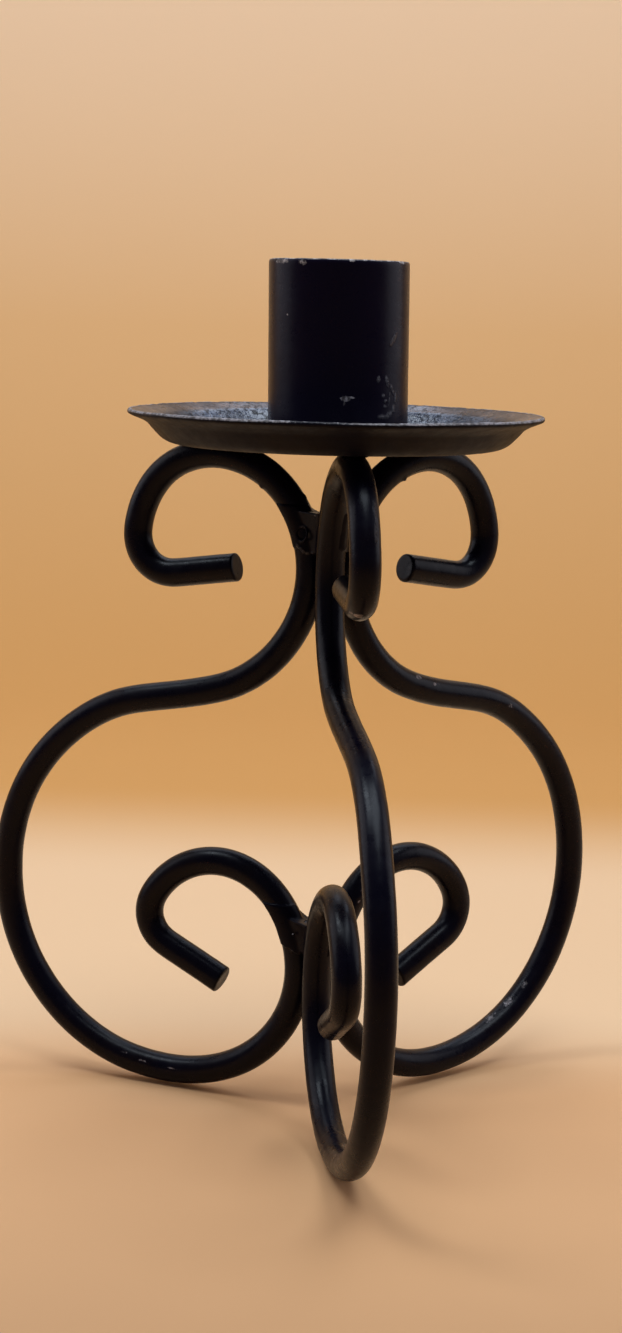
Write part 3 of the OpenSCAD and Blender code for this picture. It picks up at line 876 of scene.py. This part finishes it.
# Dull streaks on the crown of the front leg, and edges of the welds that rubbing has dulled, which are also
# painted highlights along the welds' lips and on the crater's rim
ROD_RUBS = [
    ((1.3, -37.9, 118.2), (0.4, 1.6, 2.4), 0.8, (-34, 0, 0)),
    ((1.25, -40.0, 114.4), (0.4, 1.6, 2.8), 0.7, (-24, 0, 0)),
]
JOINT_RUBS_AND_HIGHLIGHTS = [
    ((-5.97, 0.24, 107.89), (0.5, 0.5, 0.45), 1.2),
    ((-5.46, -0.20, 107.39), (0.6, 0.6, 0.45), 1.2),
    ((-4.92, -0.41, 106.87), (0.6, 0.6, 0.45), 1.2),
    ((-4.20, -0.60, 106.62), (0.6, 0.6, 0.40), 1.0),
    ((-3.39, -1.38, 106.63), (0.6, 0.6, 0.40), 0.8),
    ((-5.25, -0.60, 111.4), (0.8, 0.8, 0.45), 1.2),
    ((-4.92, -0.28, 31.03), (0.7, 0.6, 0.40), 1.0),
    ((-4.01, -0.65, 30.54), (0.7, 0.6, 0.40), 0.8),
    ((-2.50, -0.90, 36.84), (0.6, 0.6, 0.50), 1.0),
]
CUP_MARKS = [
    ((0.0, -12.75, 135.4), (1.9, 1.5, 1.0), 0.72, (0, 8, 0)),
    ((0.9, -12.75, 135.6), (1.3, 1.5, 0.35), 0.8),
    ((-0.2, -12.75, 134.5), (0.5, 1.2, 0.9), 0.6),
    ((-9.97, -7.37, 149.8), (0.38, 0.38, 0.32), 0.55),
    ((-11.2, -6.0, 159.2), (3.2, 4.5, 0.9), 0.62),
    ((-8.0, -9.9, 159.0), (2.2, 2.4, 1.3), 0.5),
    ((0.5, -12.4, 159.6), (1.1, 1.5, 0.7), 0.8),
    ((10.4, -7.4, 159.5), (2.2, 3.2, 0.8), 0.6),
    ((2.0, 12.4, 158.9), (3.2, 1.5, 1.4), 0.6),
    ((11.0, 6.8, 140.0), (1.4, 1.8, 3.5), 0.4, (20, 0, 0)),
]
# A sag in the cup's paint, low on the right, a scratch above it and dull places round them
CUP_RUBS = [
    ((8.85, -9.62, 145.95), (0.55, 0.6, 1.75), 2.2, (0, 38, 41)),
    ((7.75, -10.55, 138.5), (0.50, 1.0, 1.3), 1.5, (0, -22, 36)),
    ((8.85, -9.75, 137.1), (0.45, 1.0, 1.3), 1.1, (0, -30, 41)),
    ((9.55, -9.15, 135.4), (0.50, 1.0, 1.6), 1.0, (0, 8, 45)),
    ((9.25, -9.45, 133.6), (0.75, 1.0, 1.1), 1.1, (0, 15, 44)),
    ((8.3, -10.3, 132.6), (1.5, 1.0, 0.7), 1.0, (0, -30, 39)),
    ((6.9, -11.2, 132.3), (1.2, 1.0, 0.6), 0.8, (0, 0, 32)),
    ((7.55, -10.75, 135.0), (0.42, 1.0, 0.42), 1.5),
    ((7.0, -11.05, 136.0), (0.45, 1.0, 0.50), 1.1),
    ((7.5, -10.8, 134.1), (0.50, 1.0, 0.40), 1.0),
    ((6.0, -11.6, 138.9), (0.45, 1.0, 0.75), 1.1),
    ((8.3, -10.2, 135.6), (0.35, 1.0, 2.0), 0.7, (0, 6, 38)),
]
# Where masks begin and end: distances from the pan's middle, and depths below the pan's rim or cup's mouth
BARE_RIM_AT, BARE_RIM_DEPTH, BARE_MOUTH_DEPTH = (37.1, 37.45), (0.56, 0.24), (0.48, 0.15)
WRINKLES_FROM, WRINKLES_TO, SHEEN_FROM, SHEEN_TO = (14.0, 17.0), (35.0, 32.0), (13.5, 15.5), (37.4, 36.6)


def worn_rim(net):
    """Bare metal along the top edge of the pan's lip, more in some places than in others."""
    radius, height = net.radius_and_height(PAN_SHIFT, PAN_TILT)
    rim = net.times(net.span(radius, *BARE_RIM_AT), net.span(height, *[RIM_Z - d for d in BARE_RIM_DEPTH]))
    return net.times(rim, net.span(net.noise(16.0, 2.0), 0.34, 0.60, 0.32, 0.74))


def worn_mouth(net):
    """A thin line of bare metal round the cup's mouth."""
    _, height = net.radius_and_height()
    return net.span(height, *[FLOOR_Z + CUP_H - d for d in BARE_MOUTH_DEPTH], 0.0, 0.42)


def ring_inside(net, start, end):
    """The pan's upper side between two distances from its middle."""
    radius, _ = net.radius_and_height(PAN_SHIFT, PAN_TILT)
    ring = net.times(net.span(radius, *start), net.span(radius, *end))
    return net.times(ring, net.upward())


def wrinkled_inside(net):
    """Where the thick paint wrinkled: on the pan's floor and on the inside of its wall."""
    ring = ring_inside(net, WRINKLES_FROM, WRINKLES_TO)
    return net.times(ring, net.span(net.noise(9.0, 2.0), 0.40, 0.56, 0.3, 1.0))


def bloom_and_sheen_inside(net):
    """Grey-blue blooming on the paint inside the pan, with a painted blue sheen of reflected light: in
    patches, with dark flecks, more beside the cup.
    """
    ring = ring_inside(net, SHEEN_FROM, SHEEN_TO)
    patches = net.span(net.noise(7.0, 2.0), 0.38, 0.60, 0.45, 1.0)
    flecks = net.span(net.noise(1.0, 3.0, 0.65), 0.40, 0.50, 0.12, 1.0)
    across = net.along("X")
    sideways = net.span(net.math("ABSOLUTE", across), 21.0, 27.0, 1.0, 0.30)
    sideways = net.times(sideways, net.span(across, 4.0, 14.0, 1.0, 1.4))
    return net.times(net.times(ring, sideways), net.times(patches, flecks))


# Paper sweep: how far back its wall is, its corner's radius, its height, half its width and its front edge
WALL_BACK, CORNER_R, WALL_H, HALF_W, FRONT_EDGE = 750.0, 350.0, 1800.0, 1800.0, -1200.0
BEND_POINTS = 25
# Paper colours: painted shade towards the camera, painted light round the holder, the floor's own colour,
# painted shade low by the wall, the wall's colour, and painted light higher up
PAPER_FRONT_SHADED, PAPER_NEAR_LIT, PAPER_FLOOR = (0.56, 0.308, 0.145), (0.78, 0.43, 0.202), (0.725, 0.475, 0.272)
PAPER_LOW_SHADED, PAPER_MID, PAPER_TOP_LIT = (0.565, 0.275, 0.080), (0.71, 0.40, 0.165), (0.94, 0.67, 0.42)
# Each band of colour sets in between two places, behind the holder on the floor or up the wall. The bands
# paint light
# and shade: darker towards the camera, lighter round the holder against its shadow, darker where the floor
# runs into the wall, and lighter up the wall
FLOOR_LIGHT_BANDS = ((-100.0, -10.0, False, PAPER_NEAR_LIT), (5.0, 58.0, True, PAPER_FLOOR),
               (168.0, 284.0, True, PAPER_LOW_SHADED))
WALL_LIGHT_BANDS = ((0.0, 140.0, False, PAPER_MID), (140.0, 310.0, False, PAPER_TOP_LIT))


def paper(turn):
    """Paper in soft bands of colour that paint light and shade. It shows only its front, so that it hides
    nothing from behind.
    """
    net = Net("sweep_paper")
    across = net.times(net.along("X"), math.sin(turn))
    behind = net.plus(across, net.times(net.along("Y"), math.cos(turn)))
    tone = PAPER_FRONT_SHADED
    for place, bands in ((behind, FLOOR_LIGHT_BANDS), (net.along("Z"), WALL_LIGHT_BANDS)):
        for start, end, smooth, colour in bands:
            tone = net.mix(net.span(place, start, end, smooth=smooth), tone, colour)
    tone = net.mix(net.span(net.noise(160.0, 2.0), 0.0, 1.0, 0.0, 0.02), tone, BLACK)
    net.set(net.shader.inputs["Base Color"], tone)
    net.shader.inputs["Roughness"].default_value = 0.7
    net.shader.inputs["Specular IOR Level"].default_value = 0.2
    one_way = net.add("ShaderNodeMixShader")
    net.set(one_way.inputs[0], net.add("ShaderNodeNewGeometry").outputs["Backfacing"])
    net.set(one_way.inputs[1], net.shader.outputs["BSDF"])
    net.set(one_way.inputs[2], net.add("ShaderNodeBsdfTransparent").outputs["BSDF"])
    net.set(net.nodes["Material Output"].inputs["Surface"], one_way.outputs["Shader"])
    return net.material


def add_stage(camera):
    """The paper sweep: floor, rounded corner and wall, square to the camera's view."""
    ahead = camera.matrix_world.to_3x3() @ Vector((0, 0, -1))
    turn = math.atan2(ahead.x, ahead.y)
    bend = [(WALL_BACK - CORNER_R + CORNER_R * math.sin(a), CORNER_R - CORNER_R * math.cos(a))
            for a in np.linspace(0, math.pi / 2, BEND_POINTS)]
    line = [(FRONT_EDGE, 0.0)] + bend + [(WALL_BACK, WALL_H)]
    points = [(x * math.cos(turn) + y * math.sin(turn), y * math.cos(turn) - x * math.sin(turn), z)
              for y, z in line for x in (-HALF_W, HALF_W)]
    faces = [(2 * i, 2 * i + 1, 2 * i + 3, 2 * i + 2) for i in range(len(line) - 1)]
    sweep = add_mesh("sweep", points, faces, paper(turn))


# Camera, fitted to the photograph in pixels, with the holder turned and shifted out of its own frame
CAMERA_PLACE = (0.0, -410.84, 151.67)
CAMERA_DIP, CAMERA_YAW, CAMERA_ROLL = 9.1714, -0.5066, 1.6075
HOLDER_SHIFT = -0.8
FRONT_TURN = 9.18
FOCAL_PIXELS, PICTURE_H, SENSOR = 2241.37, 1333.0, 36.0
CLIP_NEAR, CLIP_FAR = 0.01, 20


def add_camera():
    """The photograph's camera, moved so that the holder stands straight in its own frame."""
    ahead = Vector((sin(CAMERA_YAW) * cos(CAMERA_DIP), cos(CAMERA_YAW) * cos(CAMERA_DIP), -sin(CAMERA_DIP)))
    level_right = Vector((cos(CAMERA_YAW), -sin(CAMERA_YAW), 0))
    level_up = level_right.cross(ahead)
    right = level_right * cos(CAMERA_ROLL) + level_up * sin(CAMERA_ROLL)
    up = level_up * cos(CAMERA_ROLL) - level_right * sin(CAMERA_ROLL)
    place = Vector(CAMERA_PLACE) - Vector((HOLDER_SHIFT, 0, 0))
    back = Matrix.Rotation(math.radians(-FRONT_TURN), 3, "Z")
    axes = back @ Matrix((right, up, -ahead)).transposed()
    data = bpy.data.cameras.new("camera")
    data.sensor_fit = "AUTO"
    data.sensor_width = SENSOR
    data.lens = FOCAL_PIXELS * SENSOR / PICTURE_H
    data.clip_start, data.clip_end = CLIP_NEAR, CLIP_FAR
    camera = add_object("camera", data)
    camera.matrix_world = Matrix.Translation(back @ place * MM) @ axes.to_4x4()
    bpy.context.scene.camera = camera
    return camera


# Lamps: place, target and size in metres, power and colour. Soft boxes hang overhead, and weaker ones
# stand behind and on either side of the holder, in a nearly dark room
SKY, SIDE, BACK = (0.80, 0.90, 1.0), (0.92, 0.92, 1.0), (0.66, 0.80, 1.0)
LAMPS = {
    "overhead": ((0.14, -0.04, 0.92), (0.13, -0.03, 0), (0.70, 0.56), 6.7, SKY),
    "top_left": ((-0.43, 0.12, 0.92), (-0.38, 0.10, 0), (0.30, 0.42), 3.3, SKY),
    "top_back": ((0.09, 0.60, 0.80), (0, 0, 0.12), (1.10, 0.30), 2.3, BACK),
    "side_left": ((-0.78, 0.33, 0.42), (0, 0, 0.10), (0.64, 0.64), 1.8, SIDE),
    "side_right": ((0.85, 0.07, 0.42), (0, 0, 0.10), (0.64, 0.64), 1.7, SIDE),
}
ROOM_COLOUR, ROOM_STRENGTH = (0.80, 0.74, 1.0, 1), 0.11


def add_lamp(name, place, target, size, power, colour):
    """A rectangular lamp that faces its target."""
    data = bpy.data.lights.new(name, "AREA")
    data.shape = "RECTANGLE"
    data.size, data.size_y = size
    data.energy = power
    data.color = colour
    lamp = add_object(name, data)
    lamp.location = place
    aim = Vector(target) - Vector(place)
    lamp.rotation_euler = aim.to_track_quat("-Z", "Y").to_euler()


def add_light():
    """The room and its lamps."""
    world = bpy.data.worlds.new("room")
    bpy.context.scene.world = world
    world.use_nodes = True
    background = world.node_tree.nodes["Background"]
    background.inputs["Color"].default_value = ROOM_COLOUR
    background.inputs["Strength"].default_value = ROOM_STRENGTH
    for name, row in LAMPS.items():
        add_lamp(name, *row)


# Everything together


rod_paint = black_paint("rod_paint", ROD_MARKS, ROD_RUBS + JOINT_RUBS_AND_HIGHLIGHTS, pale=WORN_PALE)
weld_paint = black_paint("weld_paint", WELD_CHIPS_AND_HIGHLIGHTS, JOINT_RUBS_AND_HIGHLIGHTS, roughness=(0.26, 0.40), peel=1.4,
                         gloss=WELD_GLOSS)
pan_paint = black_paint("pan_paint", peel=1.2, brown_and_sheen=0.8, worn=worn_rim, wrinkled=wrinkled_inside,
                        painted_sheen=bloom_and_sheen_inside, pale=WORN_PALE)
cup_paint = black_paint("cup_paint", CUP_MARKS, CUP_RUBS, roughness=(0.26, 0.32), peel=0.7, base=CUP_BLACK,
                        worn=worn_mouth, brown_and_sheen=0.1, rub_and_highlight=CUP_RUB)
for leg_seed, leg_name in enumerate(LEG_WAYS, 1):
    add_leg(leg_name, rod_paint, leg_seed)
for joint_name in JOINTS:
    add_weld(joint_name, weld_paint)
add_pan(pan_paint)
add_cup(cup_paint)
add_cup_bead(weld_paint)
add_tacks(weld_paint)
view_camera = add_camera()
add_stage(view_camera)
add_light()
bpy.context.scene.view_settings.view_transform = "Standard"
